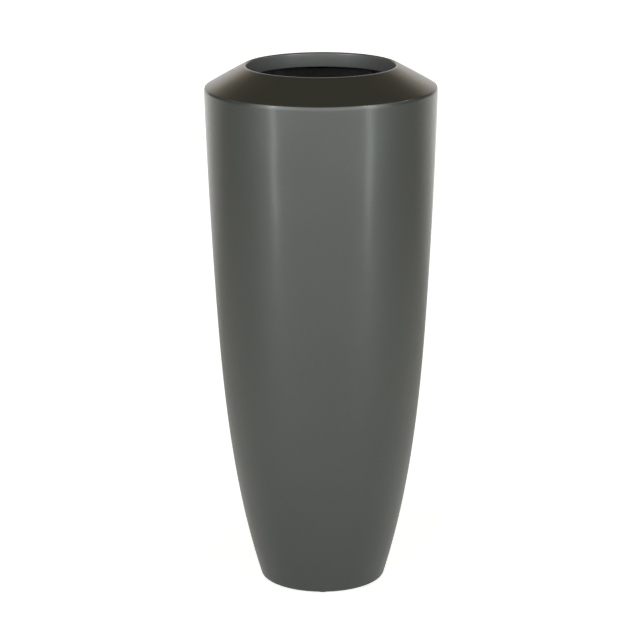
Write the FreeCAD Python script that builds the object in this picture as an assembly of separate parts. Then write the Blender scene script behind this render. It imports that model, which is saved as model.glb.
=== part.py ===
import FreeCAD, Part
import math
import os

from FreeCAD import Rotation, Vector

# A tall round fibreglass planter. Millimetres, +Z up, origin on the floor under its middle.
# Heights are above the floor, radii are from the upright axis through the origin.

# Outline of the moulded body
overall_height = 914.0      # floor to the top of the lip
shoulder_rise = 37.0        # crease up to the top of the lip
crease_radius = 198.9       # widest place, where wall and shoulder meet
crease_lean = 1.4           # degrees off upright, the wall leaning outward as it rises
belly_height = 537.6
belly_radius = 184.9
foot_radius = 108.0
foot_lean = 17.0
shoulder_crown = 0.5        # how far the shoulder bulges above its straight line
mouth_radius = 127.0
collar_depth = 25.4         # the smooth return inside the mouth
lip_width = 5.0             # level ring at the very top
crease_round = 5.5
lip_round = 3.2
lip_shoulder_round = 4.0
edge_round = 1.2

# Laminates and the bonded joint under the crease
wall_thickness = 4.5
shoulder_thickness = 5.0
collar_thickness = 5.0
seam_drop = 12.0            # crease down to the seam
skirt_length = 35.0
skirt_thickness = 4.0
bond_gap = 0.3              # resin film between bonded or resting curved faces
tape_width = 60.0
tape_thickness = 1.5

# Foot pan, pads and floor board
pan_thickness = 4.5
pan_skirt_height = 32.0     # skirt bonded inside the wall, above the foot's plane
pad_height = 2.0
pad_radius = 12.0
pad_edge_round = 0.6
pad_count = 4
pad_margin = 0.5            # pad to the edge of the flat foot ring
heel_round = 5.0
recess_radius = 74.0
recess_height = 24.0
recess_draft = 12.0
recess_round = 3.0
floor_round = 6.0
board_radius = 62.0
board_thickness = 9.0

# Drain fitting
bush_radius = 15.0
bush_bore_radius = 10.5
bush_flange_radius = 26.0
bush_flange_thickness = 3.0
bush_tail = 2.0             # bush below its nut
bush_clearance = 0.5
gasket_thickness = 2.0
nut_flat_to_flat = 42.0
nut_sides = 6
nut_thickness = 7.0
nut_clearance = 0.1
nut_chamfer = 1.5
plug_length = 20.0
plug_clearance = 0.08
plug_relief = 0.9
plug_rib_width = 3.0
plug_rib_count = 3
plug_head_radius = 17.0
plug_head_thickness = 3.0
plug_tab_width = 18.0
plug_tab_thickness = 4.0
plug_tab_height = 9.0
plug_tab_hole_radius = 2.5
strainer_radius = 21.0
strainer_thickness = 1.5
strainer_spigot = 5.0
strainer_wall = 1.5
strainer_hole_radius = 1.8
strainer_hole_ring = 5.5
strainer_hole_count = 6

# Planting shelf
shelf_thickness = 12.0
shelf_clearance = 1.5       # shelf edge to the wall
shelf_seat_depth = 3.0      # shallow seat that the liner stands in
shelf_seat_clearance = 1.5
shelf_hole_radius = 8.0
shelf_hole_ring = 60.0
shelf_hole_count = 6
shelf_hole_first_angle = 30.0
shelf_edge_round = 1.5
cleat_count = 4
cleat_width = 46.0
cleat_height = 32.0
cleat_depth = 22.0
cleat_first_angle = 45.0
screw_inset = 11.0          # screw to the wall's inner face
screw_radius = 2.0
screw_length = 32.0
screw_tip = 5.0
screw_head_radius = 4.2
screw_head_height = 2.6
screw_clearance = 0.05
screw_hole_clearance = 0.4
screw_slot_width = 1.1
screw_slot_depth = 1.2

# Drop-in liner and its bail
liner_drop = 75.0           # top of the lip down to the liner's rim
liner_height = 235.0
liner_foot_radius = 92.0
liner_foot_ring = 9.0
liner_foot_rise = 3.0
liner_wall = 2.2
liner_rim_radius = 118.0
liner_rim_width = 16.0
liner_rim_drop = 10.0
liner_hole_radius = 6.0
liner_hole_ring = 52.0
liner_hole_count = 6
liner_edge_round = 1.0
ear_thickness = 4.0
ear_half_width = 7.0
wire_radius = 2.0
wire_fit = 0.08
wire_end = 2.2              # wire beyond its ear
wire_side_gap = 1.0         # wire bend to the inside of its ear
bend_radius = 5.0
grip_radius = 6.0
grip_angle = 44.0           # degrees of the bail's arc under the grip
grip_edge_round = 1.2

# Geometry helpers
full_turn = 360.0
half_turn = 180.0
quarter_turn = 90.0
axis = Vector(0, 0, 1)
same_place = 0.01           # points this close are one corner
touching = 1e-6             # ends this close need no joining line
halving_limit = 1e-9

# Levels and radii that follow from the sizes above
crease_height = overall_height - shoulder_rise
seam_height = crease_height - seam_drop
skirt_bottom = seam_height - skirt_length
skirt_outer_depth = wall_thickness + bond_gap
skirt_inner_depth = skirt_outer_depth + skirt_thickness
foot_height = pad_height
floor_under = foot_height + recess_height
floor_top = floor_under + pan_thickness
pan_depth = wall_thickness + bond_gap
pan_top = foot_height + pan_skirt_height
board_top = floor_top + board_thickness
gasket_top = board_top + gasket_thickness
flange_top = gasket_top + bush_flange_thickness
nut_under = floor_under - nut_thickness
bush_under = nut_under - bush_tail
pad_ring = foot_radius - heel_round - pad_margin - pad_radius
floor_hole_radius = bush_radius + bush_clearance
rim_height = overall_height - liner_drop
shelf_seat = rim_height - liner_height
shelf_top = shelf_seat + shelf_seat_depth
shelf_under = shelf_top - shelf_thickness
hinge_height = rim_height + grip_radius + bond_gap
ear_outer = liner_rim_radius - liner_edge_round
ear_inner = ear_outer - ear_thickness
bail_radius = ear_inner - wire_side_gap - bend_radius


def at(radius, height, side=0.0):
    """The point at a radius and a height in the plane that outlines are drawn in."""
    return Vector(radius, side, height)


def slope(degrees):
    """Unit direction of a wall that leans outward by an angle as it rises."""
    lean = math.radians(degrees)
    return Vector(math.sin(lean), 0, math.cos(lean))


def wall_curve(depth):
    """The wall's outline, moved inward by a depth that is square to the wall."""
    foot, crease = slope(foot_lean), slope(crease_lean)
    stations = [
        at(foot_radius - depth * foot.z, foot_height + depth * foot.x),
        at(belly_radius - depth, belly_height),
        at(crease_radius - depth * crease.z, crease_height + depth * crease.x),
    ]
    curve = Part.BSplineCurve()
    curve.interpolate(Points=stations, InitialTangent=foot, FinalTangent=crease)
    return curve


def place_on(curve, height):
    """The curve's parameter where it passes a height, found by halving."""
    low, high = curve.FirstParameter, curve.LastParameter
    while high - low > halving_limit:
        middle = (low + high) / 2
        if curve.value(middle).z < height:
            low = middle
        else:
            high = middle
    return low


def wall_run(depth, start, end):
    """A stretch of the wall's outline between two heights, with its two end points."""
    curve = wall_curve(depth)
    first, last = place_on(curve, start), place_on(curve, end)
    edge = curve.toShape(min(first, last), max(first, last))
    return edge, curve.value(first), curve.value(last)


def wall_radius(depth, height):
    """The wall's radius at a height, a given depth inside its outer face."""
    curve = wall_curve(depth)
    return curve.value(place_on(curve, height)).x


def crowned_run(start, end, crown):
    """A shallow arc from one point to another, bulging outward and upward by a crown."""
    along = end.sub(start)
    out = Vector(along.z, 0, -along.x).normalize()
    middle = start.add(end).multiply(0.5).add(out.multiply(crown))
    return Part.Arc(start, middle, end).toShape(), start, end


def turned(*path):
    """A solid turned about the axis, from a closed path of corners and ready-made stretches."""
    edges, spans = [], []
    for item in path:
        if isinstance(item[0], Part.Edge):
            edges.append(item[0])
            spans.append((item[1], item[2]))
        else:
            spans.append((at(*item), at(*item)))
    for (_, here), (there, _) in zip(spans, spans[1:] + spans[:1]):
        if here.distanceToPoint(there) > touching:
            edges.append(Part.LineSegment(here, there).toShape())
    outline = Part.Wire(Part.__sortEdges__(edges))
    return Part.Face(outline).revolve(Vector(), axis, full_turn)


def rounded(solid, radius, *corners):
    """Rounds the circular edges that run through the given corners."""
    edges = []
    for corner in corners:
        for edge in solid.Edges:
            if not isinstance(edge.Curve, Part.Circle):
                continue
            here = at(edge.Curve.Radius, edge.Curve.Center.z)
            if here.distanceToPoint(at(*corner)) < same_place:
                edges.append(edge)
    return solid.makeFillet(radius, edges)


def disc(radius, low, high, at_radius=0.0):
    """An upright cylinder between two heights, on the axis or beside it."""
    return Part.makeCylinder(radius, high - low, at(at_radius, low), axis)


def around(shape, count, first_angle=0.0):
    """Copies of a shape, evenly spaced about the axis."""
    turns = [first_angle + full_turn * index / count for index in range(count)]
    return [shape.rotated(Vector(), axis, turn) for turn in turns]


def cut_all(solid, cutters):
    """The solid with every cutter taken out of it."""
    for cutter in cutters:
        solid = solid.cut(cutter)
    return solid


def foot_corner(depth):
    """Where the wall's outline, moved inward by a depth, runs straight on down to the foot's plane."""
    lean = math.radians(foot_lean)
    return foot_radius - depth / math.cos(lean), foot_height


def foot_end(depth):
    """Height where that straight stretch meets the curved outline."""
    return foot_height + depth * math.sin(math.radians(foot_lean))


def wall_shell():
    """Tapered wall, laid up as one open laminate with flat ends."""
    shell = turned(
        foot_corner(0.0),
        wall_run(0.0, foot_height, seam_height),
        wall_run(wall_thickness, seam_height, foot_end(wall_thickness)),
        foot_corner(wall_thickness),
    )
    return rounded(shell, heel_round, (foot_radius, foot_height))


def foot_pan():
    """Foot ring, recess and raised floor in one moulding, with a skirt that is bonded inside the wall."""
    draft = math.tan(math.radians(recess_draft))
    across = pan_thickness * math.tan(math.radians((quarter_turn - recess_draft) / 2))
    recess_top = recess_radius - recess_height * draft
    inside_low = foot_height + pan_thickness
    ring_inside = recess_radius + across - pan_thickness * draft
    floor_inside = recess_top + across - pan_thickness * draft
    inner = wall_run(pan_depth + pan_thickness, pan_top, inside_low)
    pan = turned(
        (floor_hole_radius, floor_under),
        (recess_top, floor_under),
        (recess_radius, foot_height),
        foot_corner(pan_depth),
        wall_run(pan_depth, foot_end(pan_depth), pan_top),
        inner,
        (ring_inside, inside_low),
        (floor_inside, floor_top),
        (floor_hole_radius, floor_top),
    )
    pan = rounded(pan, recess_round, (recess_radius, foot_height), (recess_top, floor_under))
    return rounded(pan, floor_round, (inner[2].x, inside_low), (floor_inside, floor_top))


def shoulder_cap():
    """Sloping shoulder with the mouth's collar, and a skirt that is bonded inside the wall."""
    brim = wall_run(0.0, seam_height, crease_height)
    crease = brim[2]
    lip = at(mouth_radius + lip_width, overall_height)
    pitch = math.atan2(lip.z - crease.z, crease.x - lip.x)
    collar_under = overall_height - collar_depth
    collar_back = mouth_radius + collar_thickness

    def under_shoulder(radius):
        rise = (crease.x - radius) * math.tan(pitch)
        return crease.z + rise - shoulder_thickness / math.cos(pitch)

    skirt_top = under_shoulder(crease.x - skirt_inner_depth)
    skirt_inner = wall_run(skirt_inner_depth, skirt_top, skirt_bottom)
    cap = turned(
        brim,
        crowned_run(crease, lip, shoulder_crown),
        (mouth_radius, overall_height),
        (mouth_radius, collar_under),
        (collar_back, collar_under),
        (collar_back, under_shoulder(collar_back)),
        skirt_inner,
        wall_run(skirt_outer_depth, skirt_bottom, seam_height),
    )
    cap = rounded(cap, crease_round, (crease.x, crease.z))
    cap = rounded(cap, lip_shoulder_round, (lip.x, lip.z))
    cap = rounded(cap, lip_round, (mouth_radius, overall_height))
    return rounded(cap, edge_round, (mouth_radius, collar_under), (collar_back, collar_under))


def joint_tape():
    """Glass tape laminated over the skirt's lower end and the wall below it."""
    on_skirt = skirt_inner_depth + bond_gap
    on_wall = wall_thickness + bond_gap
    top = skirt_bottom + tape_width / 2
    below = skirt_bottom - bond_gap - (on_skirt - on_wall)
    bottom = skirt_bottom - tape_width / 2
    return turned(
        wall_run(on_skirt, top, skirt_bottom - bond_gap),
        wall_run(on_wall, below, bottom),
        wall_run(on_wall + tape_thickness, bottom, below),
        wall_run(on_skirt + tape_thickness, skirt_bottom - bond_gap, top),
    )


def foot_pads():
    """Rubber pads under the flat foot ring, one of them at the front."""
    pad = rounded(disc(pad_radius, 0.0, pad_height), pad_edge_round, (pad_radius, 0.0))
    pad.translate(Vector(0, -pad_ring, 0))
    return around(pad, pad_count)


def floor_board():
    """Plywood disc that stiffens the floor round the drain."""
    board = disc(board_radius, floor_top, board_top).cut(disc(floor_hole_radius, floor_top, board_top))
    return rounded(board, edge_round, (board_radius, board_top))


def drain_gasket():
    """Rubber ring between the board and the drain's flange."""
    hole = disc(bush_radius + bond_gap, board_top, gasket_top)
    return disc(bush_flange_radius, board_top, gasket_top).cut(hole)


def drain_bush():
    """Flanged tube through board and floor."""
    bush = turned(
        (bush_bore_radius, bush_under),
        (bush_radius, bush_under),
        (bush_radius, gasket_top),
        (bush_flange_radius, gasket_top),
        (bush_flange_radius, flange_top),
        (bush_bore_radius, flange_top),
    )
    return rounded(bush, edge_round, (bush_flange_radius, flange_top))


def drain_nut():
    """Six-sided nut that draws the drain's flange down on its gasket."""
    corner_radius = nut_flat_to_flat / 2 / math.cos(math.pi / nut_sides)
    corners = []
    for index in range(nut_sides + 1):
        turn = Rotation(axis, full_turn * index / nut_sides)
        corners.append(turn.multVec(Vector(corner_radius, 0, 0)))
    blank = Part.Face(Part.makePolygon(corners)).extrude(Vector(0, 0, nut_thickness))
    blank.translate(Vector(0, 0, nut_under))
    round_off = turned(
        (0.0, nut_under),
        (corner_radius - nut_chamfer, nut_under),
        (corner_radius, nut_under + nut_chamfer),
        (corner_radius, floor_under),
        (0.0, floor_under),
    )
    return blank.common(round_off).cut(disc(bush_radius + nut_clearance, nut_under, floor_under))


def drain_plug():
    """Ribbed rubber bung pushed into the drain from below, with a tab to pull it by."""
    stem = bush_bore_radius - plug_clearance
    core = stem - plug_relief
    pitch = plug_length / plug_rib_count
    head_under = bush_under - plug_head_thickness
    path = [(0.0, head_under), (plug_head_radius, head_under)]
    path += [(plug_head_radius, bush_under), (core, bush_under)]
    for index in range(plug_rib_count):
        rib = bush_under + pitch * (index + 1) - plug_rib_width
        path += [(core, rib - plug_relief), (stem, rib), (stem, rib + plug_rib_width / 2)]
        path += [(core, rib + plug_rib_width)]
    path += [(0.0, bush_under + plug_length)]
    plug = turned(*path)
    tab_low = head_under - plug_tab_height
    corner = Vector(-plug_tab_width / 2, -plug_tab_thickness / 2, tab_low)
    tab = Part.makeBox(plug_tab_width, plug_tab_thickness, plug_tab_height, corner)
    lowest = [edge for edge in tab.Edges if edge.BoundBox.ZMax < tab_low + same_place]
    ends = [edge for edge in lowest if edge.Length < plug_tab_width - same_place]
    tab = tab.makeFillet(plug_tab_thickness, ends)
    hole_start = Vector(0, -plug_tab_thickness, tab_low + plug_tab_height / 2)
    hole = Part.makeCylinder(plug_tab_hole_radius, 2 * plug_tab_thickness, hole_start, Vector(0, 1, 0))
    return plug.fuse(tab.cut(hole)).removeSplitter()


def drain_strainer():
    """Perforated cap pressed into the top of the drain."""
    spigot = bush_bore_radius - plug_clearance
    top = flange_top + strainer_thickness
    cap = turned(
        (0.0, flange_top),
        (spigot - strainer_wall, flange_top),
        (spigot - strainer_wall, flange_top - strainer_spigot),
        (spigot, flange_top - strainer_spigot),
        (spigot, flange_top),
        (strainer_radius, flange_top),
        (strainer_radius, top),
        (0.0, top),
    )
    hole = disc(strainer_hole_radius, flange_top, top, strainer_hole_ring)
    cap = cut_all(cap, around(hole, strainer_hole_count))
    return cap.cut(disc(strainer_hole_radius, flange_top, top))


def screw_place():
    """Radius of the shelf's screws, a fixed way in from the wall."""
    return wall_radius(wall_thickness, shelf_under) - screw_inset


def shelf_cleats():
    """Blocks bonded to the wall under the shelf, their backs shaped to the wall."""
    low = shelf_under - cleat_height
    depth = wall_thickness + bond_gap
    room = turned((0.0, low), wall_run(depth, low, shelf_under), (0.0, shelf_under))
    reach = wall_radius(depth, shelf_under)
    corner = at(wall_radius(depth, low) - cleat_depth, low, -cleat_width / 2)
    block = Part.makeBox(reach, cleat_width, cleat_height, corner).common(room)
    pilot_low = shelf_top - screw_length
    pilot = disc(screw_radius + screw_clearance, pilot_low, shelf_under, screw_place())
    return around(block.cut(pilot), cleat_count, cleat_first_angle)


def planting_shelf():
    """Board across the planter that carries the liner, with drain holes and a shallow seat."""
    edge = wall_radius(wall_thickness, shelf_under) - shelf_clearance
    shelf = disc(edge, shelf_under, shelf_top)
    shelf = rounded(shelf, shelf_edge_round, (edge, shelf_top))
    shelf = shelf.cut(disc(liner_foot_radius + shelf_seat_clearance, shelf_seat, shelf_top))
    drain = disc(shelf_hole_radius, shelf_under, shelf_top)
    ring = disc(shelf_hole_radius, shelf_under, shelf_top, shelf_hole_ring)
    shelf = cut_all(shelf, [drain] + around(ring, shelf_hole_count, shelf_hole_first_angle))
    shank = disc(screw_radius + screw_hole_clearance, shelf_under, shelf_top, screw_place())
    sink = Part.makeCone(
        screw_radius + screw_hole_clearance,
        screw_head_radius + screw_hole_clearance,
        screw_head_height,
        at(screw_place(), shelf_top - screw_head_height),
        axis,
    )
    return cut_all(shelf, around(shank.fuse(sink), cleat_count, cleat_first_angle))


def shelf_screws():
    """Countersunk wood screws through the shelf into the cleats."""
    tip = shelf_top - screw_length
    screw = turned(
        (0.0, tip),
        (screw_radius, tip + screw_tip),
        (screw_radius, shelf_top - screw_head_height),
        (screw_head_radius, shelf_top),
        (0.0, shelf_top),
    )
    corner = Vector(-screw_head_radius, -screw_slot_width / 2, shelf_top - screw_slot_depth)
    slot = Part.makeBox(2 * screw_head_radius, screw_slot_width, screw_slot_depth, corner)
    screw = screw.cut(slot).cut(slot.rotated(Vector(), axis, quarter_turn))
    screw.translate(Vector(screw_place(), 0, 0))
    return around(screw, cleat_count, cleat_first_angle)


def ear(side):
    """Upright lug on the liner's rim that one end of the bail turns in."""
    low = rim_height - liner_wall / 2
    start = Vector(side * ear_inner, 0, hinge_height)
    across = Vector(side, 0, 0)
    corner = Vector(min(side * ear_inner, side * ear_outer), -ear_half_width, low)
    post = Part.makeBox(ear_thickness, 2 * ear_half_width, hinge_height - low, corner)
    top = Part.makeCylinder(ear_half_width, ear_thickness, start, across)
    hole = Part.makeCylinder(wire_radius + wire_fit, ear_thickness, start, across)
    return post.fuse(top).cut(hole).removeSplitter()


def liner_pot():
    """Tapered drop-in pot with a broad turned-down rim, drain holes and two ears."""
    inside_rim = liner_rim_radius - liner_rim_width
    floor_low = shelf_seat + liner_foot_rise
    ring_inside = liner_foot_radius - liner_foot_ring
    pot = turned(
        (0.0, floor_low),
        (ring_inside - liner_foot_rise, floor_low),
        (ring_inside, shelf_seat),
        (liner_foot_radius, shelf_seat),
        (inside_rim + liner_wall, rim_height - liner_wall),
        (liner_rim_radius - liner_wall, rim_height - liner_wall),
        (liner_rim_radius - liner_wall, rim_height - liner_rim_drop),
        (liner_rim_radius, rim_height - liner_rim_drop),
        (liner_rim_radius, rim_height),
        (inside_rim, rim_height),
        (liner_foot_radius - liner_wall, floor_low + liner_wall),
        (0.0, floor_low + liner_wall),
    )
    pot = rounded(pot, liner_edge_round, (liner_rim_radius, rim_height), (inside_rim, rim_height))
    hole = disc(liner_hole_radius, floor_low, floor_low + liner_wall, liner_hole_ring)
    pot = cut_all(pot, around(hole, liner_hole_count))
    return pot.fuse(ear(1)).fuse(ear(-1)).removeSplitter()


def bail_line(start_angle, end_angle):
    """The bail's round part between two angles, lying level at the hinge's height."""
    centre = Vector(0, bend_radius, hinge_height)
    angles = [start_angle, (start_angle + end_angle) / 2, end_angle]
    points = [centre.add(Rotation(axis, angle).multVec(Vector(bail_radius, 0, 0))) for angle in angles]
    return Part.Arc(*points).toShape()


def liner_bail():
    """Wire handle whose two ends turn outward through the liner's ears."""
    tip = ear_outer + wire_end
    edges = []
    for side in (1, -1):
        pin_end = Vector(side * tip, 0, hinge_height)
        pin_root = Vector(side * (bail_radius + bend_radius), 0, hinge_height)
        centre = pin_root.add(Vector(0, bend_radius, 0))
        halfway = Vector(-side, -1, 0).normalize().multiply(bend_radius).add(centre)
        bend_end = Vector(side * bail_radius, bend_radius, hinge_height)
        edges.append(Part.LineSegment(pin_end, pin_root).toShape())
        edges.append(Part.Arc(pin_root, halfway, bend_end).toShape())
    edges.append(bail_line(0, half_turn))
    route = Part.Wire(Part.__sortEdges__(edges))
    begin = route.OrderedVertexes[0].Point
    section = Part.Wire(Part.makeCircle(wire_radius, begin, Vector(1, 0, 0)))
    return route.makePipeShell([section], True, True)


def bail_grip():
    """Moulded sleeve round the middle of the bail."""
    line = bail_line(quarter_turn - grip_angle / 2, quarter_turn + grip_angle / 2)
    route = Part.Wire([line])
    begin, way = line.valueAt(line.FirstParameter), line.tangentAt(line.FirstParameter)
    outside = Part.Wire(Part.makeCircle(grip_radius, begin, way))
    inside = Part.Wire(Part.makeCircle(wire_radius + wire_fit, begin, way))
    sleeve = route.makePipeShell([outside], True, True).cut(route.makePipeShell([inside], True, True))
    circles = [edge for edge in sleeve.Edges if isinstance(edge.Curve, Part.Circle)]
    rims = [edge for edge in circles if abs(edge.Curve.Radius - grip_radius) < same_place]
    return sleeve.makeFillet(grip_edge_round, rims)


NODES = [
    wall_shell,
    foot_pan,
    shoulder_cap,
    joint_tape,
    foot_pads,
    floor_board,
    drain_gasket,
    drain_bush,
    drain_nut,
    drain_plug,
    drain_strainer,
    shelf_cleats,
    planting_shelf,
    shelf_screws,
    liner_pot,
    liner_bail,
    bail_grip,
]

os.makedirs("parts", exist_ok=True)
for make in NODES:
    shape = make()
    if isinstance(shape, list):
        shape = Part.makeCompound(shape)
    shape.exportStep(f"parts/{make.__name__}.step")
    box = shape.BoundBox
    print(f"{make.__name__:16s} solids {len(shape.Solids)} valid {shape.isValid()} "
          f"z {box.ZMin:.2f}..{box.ZMax:.2f} x {box.XMin:.2f}..{box.XMax:.2f} volume {shape.Volume:.0f}")
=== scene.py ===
"""Finishes and details for a tall round fibreglass planter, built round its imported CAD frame.

Metres, +Z up.
"""

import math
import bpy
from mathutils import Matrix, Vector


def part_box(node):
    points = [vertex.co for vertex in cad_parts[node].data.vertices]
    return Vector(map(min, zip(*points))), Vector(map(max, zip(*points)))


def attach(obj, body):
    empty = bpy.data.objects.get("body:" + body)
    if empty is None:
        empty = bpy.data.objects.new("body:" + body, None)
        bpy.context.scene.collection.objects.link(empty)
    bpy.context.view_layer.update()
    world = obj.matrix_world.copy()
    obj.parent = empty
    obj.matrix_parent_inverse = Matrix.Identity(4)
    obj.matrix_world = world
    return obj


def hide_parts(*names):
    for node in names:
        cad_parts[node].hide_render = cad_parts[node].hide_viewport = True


bl_info = {
    "name": "Tall round planter",
    "version": (1, 0, 0),
    "blender": (4, 5, 0),
    "location": "3D View > Sidebar > Planter",
    "description": "Paint, laminate, liner, drain and studio for a tall fibreglass planter",
    "category": "Object",
}

import bmesh
import bpy
from bpy.props import FloatProperty, FloatVectorProperty, IntProperty, PointerProperty
from mathutils import Matrix, Vector

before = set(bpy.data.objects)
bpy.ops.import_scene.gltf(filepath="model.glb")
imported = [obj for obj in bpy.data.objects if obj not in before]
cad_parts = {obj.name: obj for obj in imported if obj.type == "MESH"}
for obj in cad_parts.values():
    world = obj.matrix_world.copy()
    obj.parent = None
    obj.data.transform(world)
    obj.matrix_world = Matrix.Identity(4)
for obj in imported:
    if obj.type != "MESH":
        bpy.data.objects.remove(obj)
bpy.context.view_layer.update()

MM = 0.001

# Points on a small round, and steps of the crown, the grip and the small rings.
ARC_STEPS = 6
CROWN_STEPS = 24
GRIP_STEPS = 66
GRIP_SIDES = 24
RING_STEPS = 12
# Edges that turn by more than this many degrees stay crisp.
CRISP_FROM = 32.0
CRISP_FROM_IN_COPIES = 28.0

# Small rounds and clearances of the mouldings.
BOND_GAP = 0.3 * MM
WELD_WITHIN = 0.001 * MM
MERGE_WITHIN = 0.005 * MM
FOOT_ROUND = 5.0 * MM
FOOT_ROUND_REACH = 7.0 * MM
RECESS_ROUND = 3.0 * MM
PAN_ROUND = 6.0 * MM
PAN_ROUND_REACH = 8.0 * MM
CREASE_ROUND = 2.5 * MM
CREASE_INSET = 1.2 * MM
TURN_IN_HEIGHT = 5.0 * MM
TURN_IN_ROUND = 20.0 * MM
SLOPE_CROWN = 0.5 * MM
LIP_ROUND = 4.0 * MM
MOUTH_ROUND = 3.2 * MM
COLLAR_ROUND = 1.2 * MM
COLLAR_BACK_ROUND = 3.0 * MM
RIB_RADIUS = 1.4 * MM
NEARLY_UPRIGHT = 0.2
FACES_DOWN = -0.5

# The studio: lengths in metres, levels as multiples of white.
FLOOR_RADIUS = 14.0
FLOOR_SPAN = 6.0
FLOOR_LEVEL = 1.6
FRONT_LEVEL = 3.4
BACK_LEVEL = 1.5
CEILING_TINT = "534200"
LAMP_TINT = "eef7fa"
LAMP_DISTANCE = 2.3
# Brightness of the floor in reflections, from FLOOR_SPAN in front of the planter to as far behind it.
FLOOR_IN_REFLECTIONS = (
    (0.0, "ffffff"), (0.25, "b6b6b6"), (0.375, "828382"), (0.50, "767776"),
    (0.60, "4a4a4a"), (0.70, "9c9c9c"), (0.82, "d8d8d8"),
)
# Brightness of the studio's ends by height: 0 is straight down, 0.5 level and 1 straight up.
FRONT_WALL = (
    (0.45, "c8c9c8"), (0.52, "cdcecd"), (0.575, "ffffff"), (0.61, "e6e7e6"),
    (0.65, "c4c4c4"), (0.72, "b4b4b4"), (0.79, "000000"),
)
BACK_WALL = (
    (0.45, "d4d4d4"), (0.55, "d4d4d4"), (0.60, "ece4da"), (0.67, "ece0d0"),
    (0.75, "a89c8e"), (0.83, "000000"),
)
# Name, degrees round from the camera's side, height of its middle, width, height, watts.
STRIPS = (
    ("front_left_strip", -46.0, 1.5, 0.22, 0.6, 4.5),
    ("front_left_low_strip", -46.0, 0.6, 0.22, 1.2, 4.5),
    ("front_left_high_strip", -46.0, 2.2, 0.22, 1.0, 16.0),
    ("front_right_strip", 47.0, 1.5, 0.22, 0.6, 3.5),
    ("front_right_low_strip", 47.0, 0.6, 0.22, 1.2, 4.5),
    ("front_right_high_strip", 47.0, 2.2, 0.22, 1.0, 13.0),
    ("side_left_strip", -104.0, 2.0, 0.10, 0.8, 4.0),
    ("side_right_strip", 93.0, 2.0, 0.10, 0.8, 8.0),
)
# The camera, fitted to the photograph: place in metres, dip and roll in degrees.
LENS_MM = 147.1
SENSOR_MM = 36.0
CAMERA_PLACE = (-0.0074, -4.357, 1.645)
CAMERA_DIP = 15.094
CAMERA_ROLL = -0.24


def linear(hex_colour):
    """A linear RGBA colour from an sRGB hex value such as 5a5d59."""
    values = [int(hex_colour[at:at + 2], 16) / 255 for at in (0, 2, 4)]
    return [v / 12.92 if v <= 0.04045 else ((v + 0.055) / 1.055) ** 2.4 for v in values] + [1.0]


def top_of(node):
    """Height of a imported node's top."""
    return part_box(node)[1].z


def low_of(node):
    """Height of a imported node's underside."""
    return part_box(node)[0].z


def reach_of(node):
    """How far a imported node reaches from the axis."""
    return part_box(node)[1].x


def length(label, words, value):
    """A length for the sidebar."""
    return FloatProperty(name=label, description=words, default=value, unit="LENGTH", precision=4)


def angle(label, words, degrees):
    """An angle for the sidebar."""
    return FloatProperty(name=label, description=words, default=math.radians(degrees), unit="ROTATION")


def colour(label, words, hex_colour):
    """A colour for the sidebar."""
    shown = linear(hex_colour)
    return FloatVectorProperty(
        name=label, description=words, default=shown, size=4, min=0.0, max=1.0, subtype="COLOR"
    )


class PlanterSizes(bpy.types.PropertyGroup):
    """Sizes of the turned pieces. The outer ones come from the frame."""

    overall_height: length("Overall height", "Floor to the top of the lip", top_of("shoulder_cap"))
    crease_radius: length("Crease radius", "Widest place of the planter", reach_of("shoulder_cap"))
    shoulder_rise: length("Shoulder rise", "Crease up to the top of the lip", 37.0 * MM)
    seam_height: length("Seam height", "Flat joint between wall and shoulder", top_of("wall_shell"))
    belly_height: length("Belly height", "Height of the outline's middle station", 537.6 * MM)
    belly_radius: length("Belly radius", "Radius at the middle station", 184.9 * MM)
    foot_radius: length("Foot radius", "Radius of the wall at the foot", 108.0 * MM)
    mouth_radius: length("Mouth radius", "Radius of the smooth collar", 127.0 * MM)
    collar_depth: length("Collar depth", "Height of the smooth collar", 25.4 * MM)
    lip_width: length("Lip width", "Flat top of the lip", 5.0 * MM)
    wall: length("Wall", "Thickness of the wall's laminate and the foot pan", 4.5 * MM)
    shell: length("Shoulder laminate", "Thickness of the shoulder and collar", 5.0 * MM)
    skirt: length("Skirt", "Thickness of the shoulder's skirt inside the wall", 4.0 * MM)
    recess_radius: length("Recess radius", "Hollow under the foot, at its mouth", 74.0 * MM)
    recess_draft: angle("Recess draft", "How far the recess's side leans inward", 12.0)
    drain_hole: length("Drain hole", "Radius of the hole through the floor", 15.5 * MM)
    foot_lean: angle("Foot lean", "How far the wall leans outward at the foot", 17.0)
    crease_lean: angle("Crease lean", "How far the wall leans outward at the crease", 1.4)
    liner_foot: length("Liner foot", "Outer radius of the liner's foot", 92.0 * MM)
    liner_neck: length("Liner neck", "Outer radius of the liner under its rim", 104.2 * MM)
    liner_rim_depth: length("Liner rim", "Height of the liner's turned-down rim", 15.5 * MM)
    rib_count: IntProperty(name="Ribs", description="Upright ribs round the liner", default=36, min=3)
    hoop_radius: length("Hoop radius", "Radius of the liner's two hoops", 2.0 * MM)
    grip_sweep: angle("Grip sweep", "Part of the bail's arc that the grip covers", 44.0)
    grip_hollow: length("Finger hollow", "Depth of the grip's hollows", 0.7 * MM)
    grip_round: length("Grip end round", "Round on the grip's ends", 1.6 * MM)
    hollow_count: IntProperty(name="Finger hollows", description="Hollows along the grip", default=4, min=1)
    bail_radius: length("Bail radius", "Middle of the wire to the middle of its arc", 107.0 * MM)
    wire_radius: length("Wire radius", "Radius of the bail's wire", 2.0 * MM)
    wire_fit: length("Wire fit", "Gap between the wire and the grip's bore", 0.08 * MM)
    round_steps: IntProperty(
        name="Steps round", description="Faces round a turned piece", default=192, min=24
    )


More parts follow.
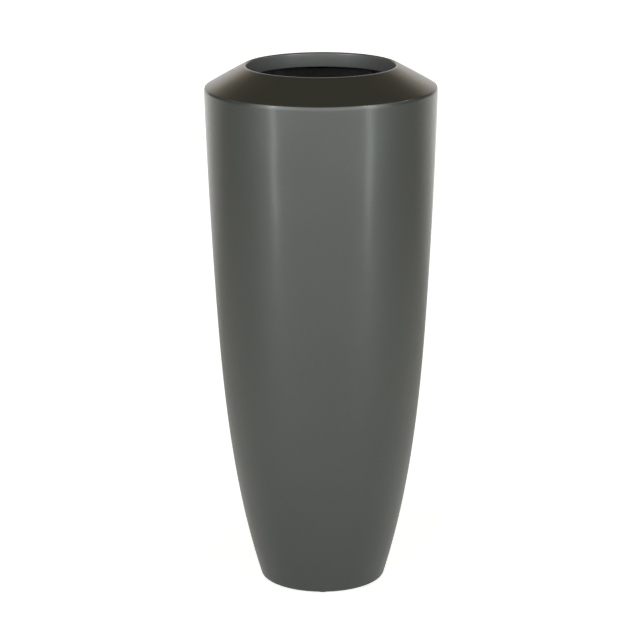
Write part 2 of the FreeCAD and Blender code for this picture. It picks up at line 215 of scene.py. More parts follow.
class PlanterFinish(bpy.types.PropertyGroup):
    """Colours of the finishes, as they look under plain light."""

    paint: colour("Paint", "Metallic grey of the outside", "494c49")
    # A paler copy of the paint for inside the collar, which paints light there.
    lightened_paint: colour("Dry paint", "The same grey where it is sprayed at a slant", "5c5e5c")
    flow_coat: colour("Flow coat", "Black resin brushed on the inside", "1b1b1a")
    liner: colour("Liner", "Moulded liner", "1f2020")
    rubber: colour("Rubber", "Pads, gasket and bung", "232323")
    plastic: colour("Fittings", "Moulded drain fittings", "2a2b2b")
    ply: colour("Plywood", "Sealed face veneer", "a98560")
    zinc: colour("Zinc", "Plated wire and screws", "b9bcbe")


def sizes():
    """The sizes in use."""
    return bpy.context.scene.planter_sizes


def finish():
    """The colours in use."""
    return bpy.context.scene.planter_finish


# ---------------------------------------------------------------- materials


def new_material(name):
    """An empty material with a Principled shader, and its node tree and shader."""
    made = bpy.data.materials.new(name)
    made.use_nodes = True
    return made, made.node_tree, made.node_tree.nodes["Principled BSDF"]


def join(tree, node, inputs):
    """Sets a node's inputs to values, or links them from sockets or from the first output of nodes."""
    for key, value in inputs.items():
        if isinstance(value, bpy.types.Node):
            value = value.outputs[0]
        if isinstance(value, bpy.types.NodeSocket):
            tree.links.new(value, node.inputs[key])
        else:
            node.inputs[key].default_value = value


def add(tree, kind, inputs, stops=(), **settings):
    """A shader node with its settings and links and, on a colour ramp, its (position, colour) stops."""
    made = tree.nodes.new("ShaderNode" + kind)
    for key, value in settings.items():
        setattr(made, key, value)
    for index, (position, hex_colour) in enumerate(stops):
        points = made.color_ramp.elements
        point = points[index] if index < len(points) else points.new(position)
        point.position = position
        point.color = linear(hex_colour)
    join(tree, made, inputs)
    return made


def spread(value, low, high):
    """Map Range inputs that spread a noise's usual range over low to high."""
    return {"Value": value, "From Min": 0.3, "From Max": 0.7, "To Min": low, "To Max": high}


def enamel(name, base, metal, lacquer):
    """Sprayed two-pack enamel with fine metal flake, on glass laminate.

    The flake gives a soft broad sheen, and the thin satin lacquer over it brightens grazing edges.
    Flakes are finer than a render shows, so they are drawn 1.4 mm across.
    """
    made, tree, shader = new_material(name)
    where = add(tree, "TexCoord", {}).outputs["Object"]
    drift = add(tree, "TexNoise", {"Vector": where, "Scale": 1 / (160 * MM)})
    mottle = add(tree, "TexNoise", {"Vector": where, "Scale": 1 / (9 * MM), "Detail": 3.0})
    flake = add(tree, "TexNoise", {"Vector": where, "Scale": 1 / (1.4 * MM), "Detail": 1.0})
    wave = add(tree, "TexNoise", {"Vector": where, "Scale": 1 / (110 * MM)})
    peel = add(tree, "TexNoise", {"Vector": where, "Scale": 1 / (3.2 * MM), "Detail": 1.0})
    uneven = add(tree, "MapRange", spread(drift, 0.97, 1.03))
    cloud = add(tree, "MapRange", spread(mottle, 0.985, 1.015))
    spark = add(tree, "MapRange", spread(flake, 0.95, 1.05))
    amount = add(tree, "Math", {0: uneven, 1: cloud}, operation="MULTIPLY")
    amount = add(tree, "Math", {0: amount, 1: spark}, operation="MULTIPLY")
    fairness = add(tree, "Bump", {"Height": wave, "Distance": 0.9 * MM})
    skin = add(tree, "Bump", {"Height": peel, "Distance": 0.02 * MM, "Normal": fairness})
    join(tree, shader, {
        "Base Color": add(tree, "HueSaturation", {"Color": base, "Value": amount}),
        "Metallic": metal,
        "Roughness": add(tree, "MapRange", spread(mottle, 0.40, 0.44)),
        "Normal": skin,
        "Coat Weight": lacquer,
        "Coat Roughness": 0.20,
        "Coat IOR": 1.5,
        "Coat Normal": skin,
    })
    return made


def satin_metallic_paint():
    """The outside's full coat of enamel and lacquer: a dark, even, softly shining grey."""
    return enamel("satin_metallic_paint", finish().paint[:], 0.65, 0.6)


def lightened_collar_paint():
    """The same enamel made paler and more matt for the inside of the collar: painted light that brightens
    it.
    """
    return enamel("lightened_collar_paint", finish().lightened_paint[:], 0.2, 0.4)


def black_flow_coat():
    """Pigmented resin brushed over chopped strand mat: dark, lumpy and half glossy."""
    made, tree, shader = new_material("black_flow_coat")
    where = add(tree, "TexCoord", {}).outputs["Object"]
    laid = add(tree, "Mapping", {"Vector": where, "Scale": (1.0, 1.0, 0.22)})
    strand = add(tree, "TexVoronoi", {"Vector": laid, "Scale": 1 / (7 * MM)})
    lumps = add(tree, "TexNoise", {"Vector": where, "Scale": 1 / (14 * MM), "Detail": 4.0, "Roughness": 0.6})
    coat = add(tree, "Bump", {"Height": lumps, "Distance": 1.2 * MM})
    join(tree, shader, {
        "Base Color": add(tree, "HueSaturation", {
            "Color": finish().flow_coat[:], "Value": add(tree, "MapRange", spread(lumps, 0.8, 1.25))}),
        "Roughness": add(tree, "MapRange", spread(lumps, 0.38, 0.62)),
        "IOR": 1.55,
        "Normal": add(tree, "Bump", {
            "Height": strand.outputs["Distance"], "Distance": 0.5 * MM, "Strength": 0.8, "Normal": coat}),
    })
    return made


def glass_tape_laminate():
    """Woven glass tape wetted out with black resin: the weave stands through the coat."""
    made, tree, shader = new_material("glass_tape_laminate")
    where = add(tree, "TexCoord", {}).outputs["Object"]
    along = add(tree, "TexWave", {"Vector": where, "Scale": 1 / (12 * MM)}, bands_direction="Z")
    across = add(tree, "TexWave", {"Vector": where, "Scale": 1 / (12 * MM)}, bands_direction="DIAGONAL")
    lumps = add(tree, "TexNoise", {"Vector": where, "Scale": 1 / (20 * MM), "Detail": 3.0})
    cloth = add(tree, "Math", {0: along.outputs["Fac"], 1: across.outputs["Fac"]}, operation="ADD")
    shade = add(tree, "MapRange", {"Value": cloth, "From Max": 2.0, "To Min": 0.8, "To Max": 1.5})
    coat = add(tree, "Bump", {"Height": lumps, "Distance": 0.8 * MM})
    join(tree, shader, {
        "Base Color": add(tree, "HueSaturation", {"Color": finish().flow_coat[:], "Value": shade}),
        "Roughness": 0.42,
        "IOR": 1.55,
        "Normal": add(tree, "Bump", {"Height": cloth, "Distance": 0.25 * MM, "Normal": coat}),
    })
    return made


def sealed_plywood():
    """Exterior birch ply under one coat of sealer: drawn-out grain on the face, thin plies on the edge."""
    made, tree, shader = new_material("sealed_plywood")
    where = add(tree, "TexCoord", {}).outputs["Object"]
    drawn = add(tree, "Mapping", {"Vector": where, "Scale": (1.0, 0.05, 1.0)})
    rings = add(tree, "TexWave", {"Vector": drawn, "Scale": 1 / (60 * MM), "Distortion": 9.0, "Detail": 3.0,
                                  "Detail Scale": 1.5}, bands_direction="X")
    fibre = add(tree, "TexNoise", {"Vector": drawn, "Scale": 1 / (1.2 * MM)})
    plies = add(tree, "TexWave", {"Vector": where, "Scale": 1 / (9.6 * MM)}, bands_direction="Z")
    facing = add(tree, "SeparateXYZ", {0: add(tree, "NewGeometry", {}).outputs["True Normal"]})
    level = add(tree, "Math", {0: facing.outputs["Z"]}, operation="ABSOLUTE")
    grain = add(tree, "MapRange", {"Value": rings.outputs["Fac"], "To Min": 0.9, "To Max": 1.06})
    streak = add(tree, "MapRange", spread(fibre, 0.93, 1.05))
    face = add(tree, "Math", {0: grain, 1: streak}, operation="MULTIPLY")
    edge = add(tree, "MapRange", {
        "Value": plies.outputs["Fac"], "From Min": 0.2, "From Max": 0.8, "To Min": 0.62})
    amount = add(tree, "Mix", {0: level, 2: edge, 3: face})
    join(tree, shader, {
        "Base Color": add(tree, "HueSaturation", {"Color": finish().ply[:], "Value": amount}),
        "Roughness": 0.55,
        "Normal": add(tree, "Bump", {"Height": fibre, "Distance": 0.08 * MM}),
    })
    return made


def liner_polypropylene():
    """The liner's black, with a coarse grain that hides scuffs."""
    return moulded_polypropylene("liner_polypropylene", finish().liner[:], 0.9 * MM)


def fitting_polypropylene():
    """The drain fittings' and grip's dark grey, with a fine grain."""
    return moulded_polypropylene("fitting_polypropylene", finish().plastic[:], 0.5 * MM)


def moulded_polypropylene(name, base, grain):
    """Injection moulded polypropylene: even colour, fine spark-eroded grain and a waxy gloss."""
    made, tree, shader = new_material(name)
    where = add(tree, "TexCoord", {}).outputs["Object"]
    texture = add(tree, "TexNoise", {"Vector": where, "Scale": 1 / grain})
    flow = add(tree, "TexNoise", {"Vector": where, "Scale": 1 / (40 * MM)})
    join(tree, shader, {
        "Base Color": add(tree, "HueSaturation", {
            "Color": base, "Value": add(tree, "MapRange", spread(flow, 0.9, 1.12))}),
        "Roughness": add(tree, "MapRange", spread(texture, 0.42, 0.56)),
        "IOR": 1.49,
        "Normal": add(tree, "Bump", {"Height": texture, "Distance": 0.05 * MM}),
    })
    return made


def matt_rubber():
    """Moulded EPDM: dead black with a dusty bloom."""
    made, tree, shader = new_material("matt_rubber")
    where = add(tree, "TexCoord", {}).outputs["Object"]
    bloom = add(tree, "TexNoise", {"Vector": where, "Scale": 1 / (5 * MM), "Detail": 4.0, "Roughness": 0.7})
    grain = add(tree, "TexNoise", {"Vector": where, "Scale": 1 / (0.5 * MM)})
    join(tree, shader, {
        "Base Color": add(tree, "HueSaturation", {
            "Color": finish().rubber[:], "Value": add(tree, "MapRange", spread(bloom, 0.85, 1.3))}),
        "Roughness": 0.82,
        "IOR": 1.52,
        "Normal": add(tree, "Bump", {"Height": grain, "Distance": 0.04 * MM}),
    })
    return made


def bright_zinc():
    """Zinc plate on drawn wire: pale, slightly clouded metal."""
    made, tree, shader = new_material("bright_zinc")
    where = add(tree, "TexCoord", {}).outputs["Object"]
    cloud = add(tree, "TexNoise", {"Vector": where, "Scale": 1 / (6 * MM), "Detail": 3.0})
    grain = add(tree, "TexNoise", {"Vector": where, "Scale": 1 / (0.4 * MM)})
    join(tree, shader, {
        "Base Color": add(tree, "HueSaturation", {
            "Color": finish().zinc[:], "Value": add(tree, "MapRange", spread(cloud, 0.82, 1.05))}),
        "Metallic": 1.0,
        "Roughness": add(tree, "MapRange", spread(cloud, 0.24, 0.38)),
        "Normal": add(tree, "Bump", {"Height": grain, "Distance": 0.01 * MM}),
    })
    return made


def material(name):
    """The named finish, made once."""
    makers = {
        "satin_metallic_paint": satin_metallic_paint,
        "lightened_collar_paint": lightened_collar_paint,
        "black_flow_coat": black_flow_coat,
        "glass_tape_laminate": glass_tape_laminate,
        "sealed_plywood": sealed_plywood,
        "liner_polypropylene": liner_polypropylene,
        "fitting_polypropylene": fitting_polypropylene,
        "matt_rubber": matt_rubber,
        "bright_zinc": bright_zinc,
    }
    return bpy.data.materials.get(name) or makers[name]()


# ---------------------------------------------------------------- modelling


def arc_between(before, corner, after, radius):
    """Points of a round that takes off the corner between two neighbours."""
    to_before, to_after = (before - corner).normalized(), (after - corner).normalized()
    half = to_before.angle(to_after) / 2
    run = radius / math.tan(half)
    centre = corner + (to_before + to_after).normalized() * (radius / math.sin(half))
    start, end = corner + to_before * run - centre, corner + to_after * run - centre
    return [centre + start.slerp(end, step / ARC_STEPS) * radius for step in range(ARC_STEPS + 1)]


def profile(*path):
    """A closed outline as points.

    It is made from (radius, height) or (radius, height, rounding), and from lists of points.
    """
    corners = []
    for item in path:
        corners += [(Vector(p), 0.0) for p in item] if isinstance(item, list) else [
            (Vector(item[:2]), item[2] if len(item) > 2 else 0.0)
        ]
    points = []
    for index, (corner, radius) in enumerate(corners):
        before, after = corners[index - 1][0], corners[(index + 1) % len(corners)][0]
        points += arc_between(before, corner, after, radius) if radius else [corner]
    return points


def show(bm, name, body, materials, crisp_from=CRISP_FROM):
    """Turns a bmesh into a smooth-shaded piece that rides on a body."""
    mesh = bpy.data.meshes.new(name)
    bmesh.ops.recalc_face_normals(bm, faces=bm.faces)
    bm.to_mesh(mesh)
    bm.free()
    mesh.shade_smooth()
    mesh.set_sharp_from_angle(angle=math.radians(crisp_from))
    for finish_name in materials:
        mesh.materials.append(material(finish_name))
    piece = bpy.data.objects.new(name, mesh)
    bpy.context.scene.collection.objects.link(piece)
    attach(piece, body)
    return piece


def spun(points):
    """A bmesh turned about the upright axis from a closed outline."""
    bm = bmesh.new()
    verts = [bm.verts.new((p[0], 0.0, p[1])) for p in points]
    edges = [bm.edges.new(pair) for pair in zip(verts, verts[1:] + verts[:1])]
    bmesh.ops.spin(
        bm, geom=verts + edges, cent=(0, 0, 0), axis=(0, 0, 1), angle=math.tau,
        steps=sizes().round_steps, use_merge=True, use_duplicate=False,
    )
    bmesh.ops.remove_doubles(bm, verts=bm.verts, dist=WELD_WITHIN)
    return bm


def merged_copy(node, piece_name, body, materials):
    """A node's own shape with its loose triangles joined, so that it can be shaded smoothly."""
    bm = bmesh.new()
    bm.from_mesh(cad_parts[node].data)
    bmesh.ops.remove_doubles(bm, verts=bm.verts, dist=MERGE_WITHIN)
    piece = show(bm, piece_name, body, materials, CRISP_FROM_IN_COPIES)
    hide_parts(node)


def wall_outline(depth, low, high, count):
    """Points of the wall's outline between two heights, a depth inside its outer face.

    The outline is one smooth curve through foot, belly and crease that leans outward by a
    known angle at both ends.
    """
    size = sizes()
    start_way = Vector((math.sin(size.foot_lean), math.cos(size.foot_lean)))
    end_way = Vector((math.sin(size.crease_lean), math.cos(size.crease_lean)))
    foot = Vector((size.foot_radius, low_of("wall_shell"))) + depth * Vector((-start_way.y, start_way.x))
    belly = Vector((size.belly_radius - depth, size.belly_height))
    crease = Vector((size.crease_radius, size.overall_height - size.shoulder_rise))
    crease += depth * Vector((-end_way.y, end_way.x))
    below, above = (belly - foot).length, (crease - belly).length
    pull = 3 * ((belly - foot) / below ** 2 + (crease - belly) / above ** 2)
    belly_way = (pull - start_way / below - end_way / above) / (2 / below + 2 / above)

    def point(share):
        """The side's point at a share of its length."""
        along = share * (below + above)
        if along <= below:
            return hermite(foot, start_way * below, belly, belly_way * below, along / below)
        return hermite(belly, belly_way * above, crease, end_way * above, (along - below) / above)

    first, last = share_at(point, low), share_at(point, high)
    return [point(first + (last - first) * step / (count - 1)) for step in range(count)]


def hermite(start, start_pull, end, end_pull, t):
    """A cubic from start to end with a pull at each."""
    return (
        (2 * t ** 3 - 3 * t ** 2 + 1) * start
        + (t ** 3 - 2 * t ** 2 + t) * start_pull
        + (3 * t ** 2 - 2 * t ** 3) * end
        + (t ** 3 - t ** 2) * end_pull
    )


def share_at(point, height):
    """Where along a rising outline a height is reached, found by halving."""
    low, high = 0.0, 1.0
    for _ in range(40):
        middle = (low + high) / 2
        if point(middle).y < height:
            low = middle
        else:
            high = middle
    return low


# ---------------------------------------------------------------- the pieces


class PLANTER_OT_wall(bpy.types.Operator):
    """Turn the painted wall, black inside"""

    bl_idname = "planter.wall"
    bl_label = "Wall shell"

    def execute(self, context):
        size = sizes()
        low = low_of("wall_shell")
        outer = wall_outline(0.0, low, size.seam_height, 64)
        inner = wall_outline(size.wall, low, size.seam_height, 32)
        points = profile(
            (size.foot_radius, low, FOOT_ROUND),
            [p for p in outer if p.y > low + FOOT_ROUND_REACH],
            inner[::-1],
            (size.foot_radius - size.wall / math.cos(size.foot_lean), low),
        )
        piece = show(spun(points), "painted_wall", "planter",
                     ["satin_metallic_paint", "black_flow_coat"])
        for face in piece.data.polygons:
            inward = face.normal.dot(Vector((*face.center.xy, 0.0))) < 0
            face.material_index = int(inward and face.center.z > low + MM)
        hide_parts("wall_shell")
        return {"FINISHED"}


class PLANTER_OT_pan(bpy.types.Operator):
    """Turn the foot pan: a ring to stand on, a recess, a raised floor and a skirt inside the wall"""

    bl_idname = "planter.pan"
    bl_label = "Foot pan"

    def execute(self, context):
        size = sizes()
        low, top = low_of("foot_pan"), top_of("foot_pan")
        depth = size.wall + BOND_GAP
        inside_low = low + size.wall
        inner = wall_outline(depth + size.wall, inside_low, top, 8)
        floor_top = low_of("floor_board")
        floor_under = floor_top - size.wall
        draft = math.tan(size.recess_draft)
        recess_top = size.recess_radius - (floor_under - low) * draft
        half_corner = (math.pi / 2 - size.recess_draft) / 2
        across = size.wall * (math.tan(half_corner) - draft)
        points = profile(
            (size.drain_hole, floor_under),
            (recess_top, floor_under, RECESS_ROUND),
            (size.recess_radius, low, RECESS_ROUND),
            (size.foot_radius - depth / math.cos(size.foot_lean), low),
            wall_outline(depth, low, top, 8),
            [p for p in inner[::-1] if p.y > inside_low + PAN_ROUND_REACH],
            (inner[0].x, inside_low, PAN_ROUND),
            (size.recess_radius + across, inside_low),
            (recess_top + across, floor_top, PAN_ROUND),
            (size.drain_hole, floor_top),
        )
        piece = show(spun(points), "moulded_foot_pan", "planter", ["black_flow_coat"])
        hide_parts("foot_pan")
        return {"FINISHED"}


def shoulder_outline():
    """The shoulder's outline: turned-in crease, crowned slope, lip, collar, underside and skirt."""
    size = sizes()
    crease_height = size.overall_height - size.shoulder_rise
    lip = Vector((size.mouth_radius + size.lip_width, size.overall_height))
    crease = Vector((size.crease_radius - CREASE_INSET, crease_height))
    along = lip - crease
    out = Vector((along.y, -along.x)).normalized()
    shares = [step / CROWN_STEPS for step in range(2, CROWN_STEPS - 1)]
    crowned = [crease + along * t + out * (SLOPE_CROWN * 4 * t * (1 - t)) for t in shares]
    pitch = math.atan2(along.y, -along.x)
    skirt_outer = size.wall + BOND_GAP
    skirt_inner = skirt_outer + size.skirt
    collar_back = size.mouth_radius + size.shell
    collar_under = size.overall_height - size.collar_depth

    def under(radius):
        """Height of the slope's underside at a radius."""
        return crease.y + (crease.x - radius) * math.tan(pitch) - size.shell / math.cos(pitch)

    skirt_low = low_of("shoulder_cap")
    skirt_top = under(crease.x - skirt_inner)
    seam, turn_in = wall_outline(0.0, size.seam_height, crease_height - TURN_IN_HEIGHT, 2)
    return profile(
        (seam.x, seam.y),
        (turn_in.x, turn_in.y, TURN_IN_ROUND),
        (crease.x, crease.y, CREASE_ROUND),
        crowned,
        (lip.x, lip.y, LIP_ROUND),
        (size.mouth_radius, size.overall_height, MOUTH_ROUND),
        (size.mouth_radius, collar_under, COLLAR_ROUND),
        (collar_back, collar_under, COLLAR_ROUND),
        (collar_back, under(collar_back), COLLAR_BACK_ROUND),
        wall_outline(skirt_inner, skirt_low, skirt_top, 6)[::-1],
        wall_outline(skirt_outer, skirt_low, size.seam_height, 5),
    )


def shoulder_finish(face):
    """Which finish a face of the shoulder takes: 0 outside, 1 black underneath, 2 inside the collar."""
    size = sizes()
    collar_under = size.overall_height - size.collar_depth
    reach, height, tilt = face.center.xy.length, face.center.z, face.normal.z
    outward = face.normal.dot(Vector((*face.center.xy, 0.0)))
    # The inside of the collar takes the paler copy of the paint, which paints light there.
    if outward < 0 and reach < size.mouth_radius + MM and height > collar_under:
        return 2
    below_collar = height < collar_under - MM / 2 and outward < 0
    by_collar = height > collar_under and reach < size.mouth_radius + size.shell + MM
    behind_collar = by_collar and tilt < NEARLY_UPRIGHT and outward > 0
    sloping_under = tilt < FACES_DOWN and reach > size.mouth_radius + 2 * MM
    return int(below_collar or behind_collar or sloping_under)


class PLANTER_OT_shoulder(bpy.types.Operator):
    """Turn the sloping shoulder with its rounded crease, lip and collar, and the skirt inside"""

    bl_idname = "planter.shoulder"
    bl_label = "Shoulder cap"

    def execute(self, context):
        piece = show(spun(shoulder_outline()), "painted_shoulder", "planter",
                     ["satin_metallic_paint", "black_flow_coat", "lightened_collar_paint"])
        for face in piece.data.polygons:
            face.material_index = shoulder_finish(face)
        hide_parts("shoulder_cap")
        return {"FINISHED"}


class PLANTER_OT_joint(bpy.types.Operator):
    """Finish the glass tape over the joint"""

    bl_idname = "planter.joint"
    bl_label = "Joint tape"

    def execute(self, context):
        merged_copy("joint_tape", "glass_joint_tape", "planter", ["glass_tape_laminate"])
        return {"FINISHED"}


class PLANTER_OT_boards(bpy.types.Operator):
    """Finish the plywood floor board, planting shelf and cleats, and the screws"""

    bl_idname = "planter.boards"
    bl_label = "Boards and screws"

    def execute(self, context):
        for node in ("floor_board", "planting_shelf", "shelf_cleats"):
            merged_copy(node, "ply_" + node, "planter", ["sealed_plywood"])
        merged_copy("shelf_screws", "countersunk_screws", "planter", ["bright_zinc"])
        return {"FINISHED"}


def liner_ribs(low, high):
    """Half-round ribs up the liner's side, between two points of its outline."""
    size = sizes()
    bm = bmesh.new()
    rib = bmesh.ops.create_uvsphere(bm, u_segments=8, v_segments=8, radius=RIB_RADIUS)["verts"]
    lean = Matrix.Rotation(math.atan2(high.x - low.x, high.y - low.y), 3, "Y")
    for vert in rib:
        end = high if vert.co.z > 0 else low
        vert.co = lean @ vert.co + Vector((end.x, 0.0, end.y))
    copies = size.rib_count - 1
    bmesh.ops.spin(
        bm, geom=bm.faces[:], cent=(0, 0, 0), axis=(0, 0, 1), dvec=(0, 0, 0),
        angle=math.tau * copies / size.rib_count, steps=copies, use_duplicate=True,
    )
    return bm


class PLANTER_OT_liner(bpy.types.Operator):
    """Finish the drop-in liner and mould its upright ribs and two hoops on the outside"""

    bl_idname = "planter.liner"
    bl_label = "Liner"

    def execute(self, context):
        size = sizes()
        merged_copy("liner_pot", "moulded_liner", "liner", ["liner_polypropylene"])
        foot = Vector((size.liner_foot, low_of("liner_pot")))
        neck = Vector((size.liner_neck, top_of("liner_pot") - size.liner_rim_depth))
        ribs = liner_ribs(foot.lerp(neck, 0.06), foot.lerp(neck, 0.84))
        show(ribs, "liner_ribs", "liner", ["liner_polypropylene"])
        turns = [math.tau * step / RING_STEPS for step in range(RING_STEPS)]
        for name, share in (("liner_low_hoop", 0.05), ("liner_high_hoop", 0.86)):
            middle = foot.lerp(neck, share)
            ring = [middle + Vector((math.cos(t), math.sin(t))) * size.hoop_radius for t in turns]
            show(spun(ring), name, "liner", ["liner_polypropylene"])
        return {"FINISHED"}


def grip_tube(outer_radius):
    """A tube bent along the bail's arc, centred on the arc's middle."""
    size = sizes()
    bm = bmesh.new()
    for radius in (outer_radius, size.wire_radius + size.wire_fit):
        ring = bmesh.ops.create_circle(bm, segments=GRIP_SIDES, radius=radius)["verts"]
        bmesh.ops.rotate(bm, verts=ring, cent=(0, 0, 0), matrix=Matrix.Rotation(math.pi / 2, 3, "X"))
        bmesh.ops.translate(bm, verts=ring, vec=(size.bail_radius, 0, 0))
    start = Matrix.Rotation((math.pi - size.grip_sweep) / 2, 3, "Z")
    bmesh.ops.rotate(bm, verts=bm.verts, cent=(0, 0, 0), matrix=start)
    bmesh.ops.spin(
        bm, geom=bm.edges[:], cent=(0, 0, 0), axis=(0, 0, 1), angle=size.grip_sweep, steps=GRIP_STEPS,
    )
    bmesh.ops.bridge_loops(bm, edges=[edge for edge in bm.edges if edge.is_boundary])
    return bm


def shape_grip(bm, outer_radius):
    """Presses the finger hollows into a grip tube and rounds its ends."""
    size = sizes()
    for vert in bm.verts:
        turn = math.atan2(vert.co.y, vert.co.x)
        spine = Vector((math.cos(turn), math.sin(turn), 0.0)) * size.bail_radius
        away = vert.co - spine
        if away.length < outer_radius - MM:
            continue
        share = (turn - (math.pi - size.grip_sweep) / 2) / size.grip_sweep
        from_end = max(0.0, min(share, 1.0 - share)) * size.grip_sweep * size.bail_radius
        hollow = size.grip_hollow * (1.0 - math.cos(math.tau * size.hollow_count * share)) / 2
        edge = max(0.0, size.grip_round - from_end)
        rounded = size.grip_round - math.sqrt(size.grip_round ** 2 - edge ** 2)
        vert.co = spine + away.normalized() * (outer_radius - hollow - rounded)


class PLANTER_OT_bail(bpy.types.Operator):
    """Finish the liner's wire bail and mould its grip with four finger hollows"""

    bl_idname = "planter.bail"
    bl_label = "Bail and grip"

    def execute(self, context):
        size = sizes()
        merged_copy("liner_bail", "wire_bail", "bail", ["bright_zinc"])
        low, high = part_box("bail_grip")
        outer_radius = (high.z - low.z) / 2
        bm = grip_tube(outer_radius)
        shape_grip(bm, outer_radius)
        arc_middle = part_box("liner_bail")[1].y - size.wire_radius - size.bail_radius
        bmesh.ops.translate(bm, verts=bm.verts, vec=(0.0, arc_middle, (low.z + high.z) / 2))
        piece = show(bm, "moulded_grip", "bail", ["fitting_polypropylene"])
        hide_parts("bail_grip")
        return {"FINISHED"}


class PLANTER_OT_drain(bpy.types.Operator):
    """Finish the drain's bush, nut, gasket, strainer and bung"""

    bl_idname = "planter.drain"
    bl_label = "Drain"

    def execute(self, context):
        for node in ("drain_bush", "drain_nut", "drain_strainer"):
            merged_copy(node, "moulded_" + node, "planter", ["fitting_polypropylene"])
        merged_copy("drain_gasket", "rubber_gasket", "planter", ["matt_rubber"])
        merged_copy("drain_plug", "rubber_bung", "plug", ["matt_rubber"])
        return {"FINISHED"}


class PLANTER_OT_pads(bpy.types.Operator):
    """Finish the rubber pads under the foot"""

    bl_idname = "planter.pads"
    bl_label = "Foot pads"

    def execute(self, context):
        merged_copy("foot_pads", "rubber_pads", "planter", ["matt_rubber"])
        return {"FINISHED"}


# ---------------------------------------------------------------- studio


def floor_finish():
    """Matt white. The camera sees it lit from within, a little less near the foot, where a shadow shows.

    Reflections see it graded from front to back, and darker at the foot where a shadow is painted. From
    below it is clear.
    """
    made, tree, shader = new_material("matt_white_floor")
    path = add(tree, "LightPath", {}).outputs
    place = add(tree, "TexCoord", {}).outputs["Object"]
    away = add(tree, "VectorMath", {0: place}, operation="LENGTH").outputs["Value"]
    clear = add(tree, "Math", {
        0: path["Is Camera Ray"], 1: path["Is Transmission Ray"]}, operation="MAXIMUM")
    lift = add(tree, "MapRange", {
        "Value": away, "From Min": 0.3, "From Max": 2.5, "To Min": 0.72, "To Max": 0.93})
    straight = add(tree, "Math", {0: clear, 1: lift}, operation="MULTIPLY")
    depth = add(tree, "MapRange", {
        "Value": add(tree, "SeparateXYZ", {0: place}).outputs["Y"],
        "From Min": -FLOOR_SPAN, "From Max": FLOOR_SPAN})
    graded = add(tree, "ValToRGB", {0: depth}, stops=FLOOR_IN_REFLECTIONS)
    sheen = add(tree, "Math", {0: graded, 1: FLOOR_LEVEL}, operation="MULTIPLY")
    # Painted shadow: the floor as reflections see it is made darker near the foot.
    painted_foot_shadow = add(tree, "MapRange", {
        "Value": away, "From Min": 0.12, "From Max": 0.45, "To Min": 0.55, "To Max": 1.0})
    mirrored = add(tree, "Math", {0: path["Is Glossy Ray"], 1: sheen}, operation="MULTIPLY")
    mirrored = add(tree, "Math", {0: mirrored, 1: painted_foot_shadow}, operation="MULTIPLY")
    from_below = add(tree, "NewGeometry", {}).outputs["Backfacing"]
    join(tree, shader, {
        "Base Color": linear("f0f0ef"),
        "Alpha": add(tree, "Math", {0: 1.0, 1: from_below}, operation="SUBTRACT"),
        "Roughness": 0.9,
        "Specular IOR Level": 0.0,
        "Emission Color": linear("ffffff"),
        "Emission Strength": add(tree, "Math", {0: straight, 1: mirrored}, operation="MAXIMUM"),
    })
    return made


def studio_floor():
    """A wide round floor under the planter."""
    bm = bmesh.new()
    bmesh.ops.create_circle(bm, cap_ends=True, segments=64, radius=FLOOR_RADIUS)
    mesh = bpy.data.meshes.new("studio_floor")
    bm.to_mesh(mesh)
    bm.free()
    mesh.materials.append(floor_finish())
    floor = bpy.data.objects.new("studio_floor", mesh)
    bpy.context.scene.collection.objects.link(floor)


def studio_world():
    """White to the camera. For light and reflections, a dark room with a bright wall at each end.

    The wall in front is the brighter one, the wall behind is warmer, and the ceiling is dim and warm.
    """
    world = bpy.data.worlds.new("studio_world")
    world.use_nodes = True
    tree = world.node_tree
    way = add(tree, "SeparateXYZ", {0: add(tree, "TexCoord", {}).outputs["Generated"]})
    rise = add(tree, "MapRange", {"Value": way.outputs["Z"], "From Min": -1.0})
    in_front = add(tree, "MapRange", {"Value": way.outputs["Y"], "From Min": -0.25, "From Max": -0.65})
    behind = add(tree, "MapRange", {"Value": way.outputs["Y"], "From Min": 0.72, "From Max": 0.94})
    above = add(tree, "MapRange", {"Value": way.outputs["Z"], "From Min": 0.3, "From Max": 0.7})
    light = add(tree, "VectorMath", {0: linear(CEILING_TINT)[:3], "Scale": above}, operation="SCALE")
    for stops, share, level in ((FRONT_WALL, in_front, FRONT_LEVEL), (BACK_WALL, behind, BACK_LEVEL)):
        wall = add(tree, "ValToRGB", {0: rise}, stops=stops)
        amount = add(tree, "Math", {0: share, 1: level}, operation="MULTIPLY")
        wall = add(tree, "VectorMath", {0: wall, "Scale": amount}, operation="SCALE")
        light = add(tree, "VectorMath", {0: light, 1: wall}, operation="ADD")
    seen = add(tree, "LightPath", {}).outputs["Is Camera Ray"]
    shown = add(tree, "Mix", {0: seen, 6: light, 7: linear("ffffff")}, data_type="RGBA")
    join(tree, tree.nodes["Background"], {"Color": shown.outputs[2]})
    bpy.context.scene.world = world


def strip_light(name, azimuth, height, wide, tall, watts):
    """A soft box beside the planter that faces its axis. Azimuth 0 is the camera's side."""
    data = bpy.data.lights.new(name, "AREA")
    data.shape = "RECTANGLE"
    data.size = wide
    data.size_y = tall
    data.energy = watts
    data.color = linear(LAMP_TINT)[:3]
    lamp = bpy.data.objects.new(name, data)
    turn = Matrix.Rotation(math.radians(azimuth), 4, "Z")
    upright = Matrix.Rotation(math.pi / 2, 4, "X")
    lamp.matrix_world = turn @ Matrix.Translation((0.0, -LAMP_DISTANCE, height)) @ upright
    lamp.visible_camera = False
    bpy.context.scene.collection.objects.link(lamp)


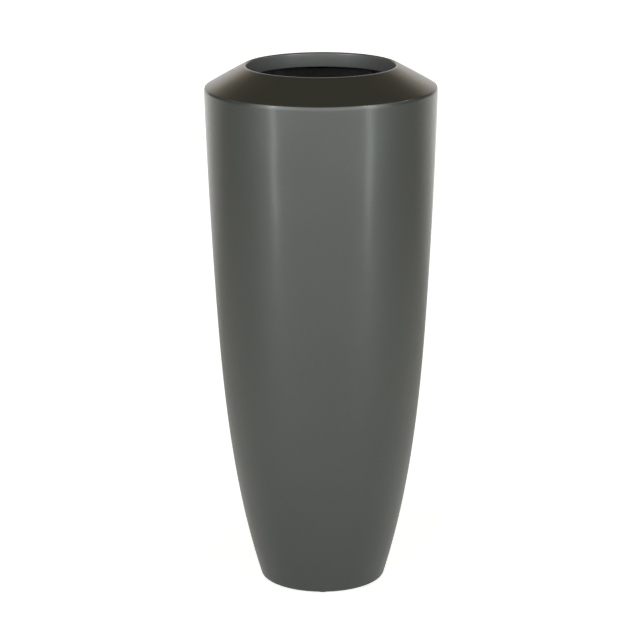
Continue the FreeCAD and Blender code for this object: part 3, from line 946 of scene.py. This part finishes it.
def photo_camera():
    """The photograph's view: a long lens at eye level, tipped down."""
    data = bpy.data.cameras.new("camera")
    data.lens = LENS_MM
    data.sensor_width = SENSOR_MM
    data.clip_start, data.clip_end = 0.1, 60.0
    camera = bpy.data.objects.new("camera", data)
    dip = Matrix.Rotation(math.radians(90.0 - CAMERA_DIP), 4, "X")
    roll = Matrix.Rotation(math.radians(CAMERA_ROLL), 4, "Z")
    camera.matrix_world = Matrix.Translation(CAMERA_PLACE) @ dip @ roll
    bpy.context.scene.collection.objects.link(camera)
    bpy.context.scene.camera = camera


class PLANTER_OT_studio(bpy.types.Operator):
    """Set out the white floor, the strip lights and the camera"""

    bl_idname = "planter.studio"
    bl_label = "Studio"

    def execute(self, context):
        context.scene.view_settings.view_transform = "Standard"
        studio_floor()
        studio_world()
        for strip in STRIPS:
            strip_light(*strip)
        photo_camera()
        return {"FINISHED"}


class PLANTER_PT_sidebar(bpy.types.Panel):
    """Lists the planter's pieces, sizes and colours"""

    bl_label = "Tall round planter"
    bl_idname = "PLANTER_PT_sidebar"
    bl_space_type = "VIEW_3D"
    bl_region_type = "UI"
    bl_category = "Planter"

    def draw(self, context):
        for step in STEPS:
            self.layout.operator(step.bl_idname)
        for group in (context.scene.planter_sizes, context.scene.planter_finish):
            for key in type(group).__annotations__:
                self.layout.prop(group, key)


STEPS = (
    PLANTER_OT_wall,
    PLANTER_OT_pan,
    PLANTER_OT_shoulder,
    PLANTER_OT_joint,
    PLANTER_OT_boards,
    PLANTER_OT_liner,
    PLANTER_OT_bail,
    PLANTER_OT_drain,
    PLANTER_OT_pads,
    PLANTER_OT_studio,
)
CLASSES = (PlanterSizes, PlanterFinish, *STEPS, PLANTER_PT_sidebar)


def register():
    """Make the add-on's classes and scene settings known."""
    for each in CLASSES:
        bpy.utils.register_class(each)
    bpy.types.Scene.planter_sizes = PointerProperty(type=PlanterSizes)
    bpy.types.Scene.planter_finish = PointerProperty(type=PlanterFinish)


def unregister():
    """Take them away again."""
    del bpy.types.Scene.planter_finish
    del bpy.types.Scene.planter_sizes
    for each in reversed(CLASSES):
        bpy.utils.unregister_class(each)


def main():
    """Build every piece and the studio."""
    register()
    for step in STEPS:
        group, name = step.bl_idname.split(".")
        getattr(getattr(bpy.ops, group), name)()


if __name__ == "__main__":
    main()
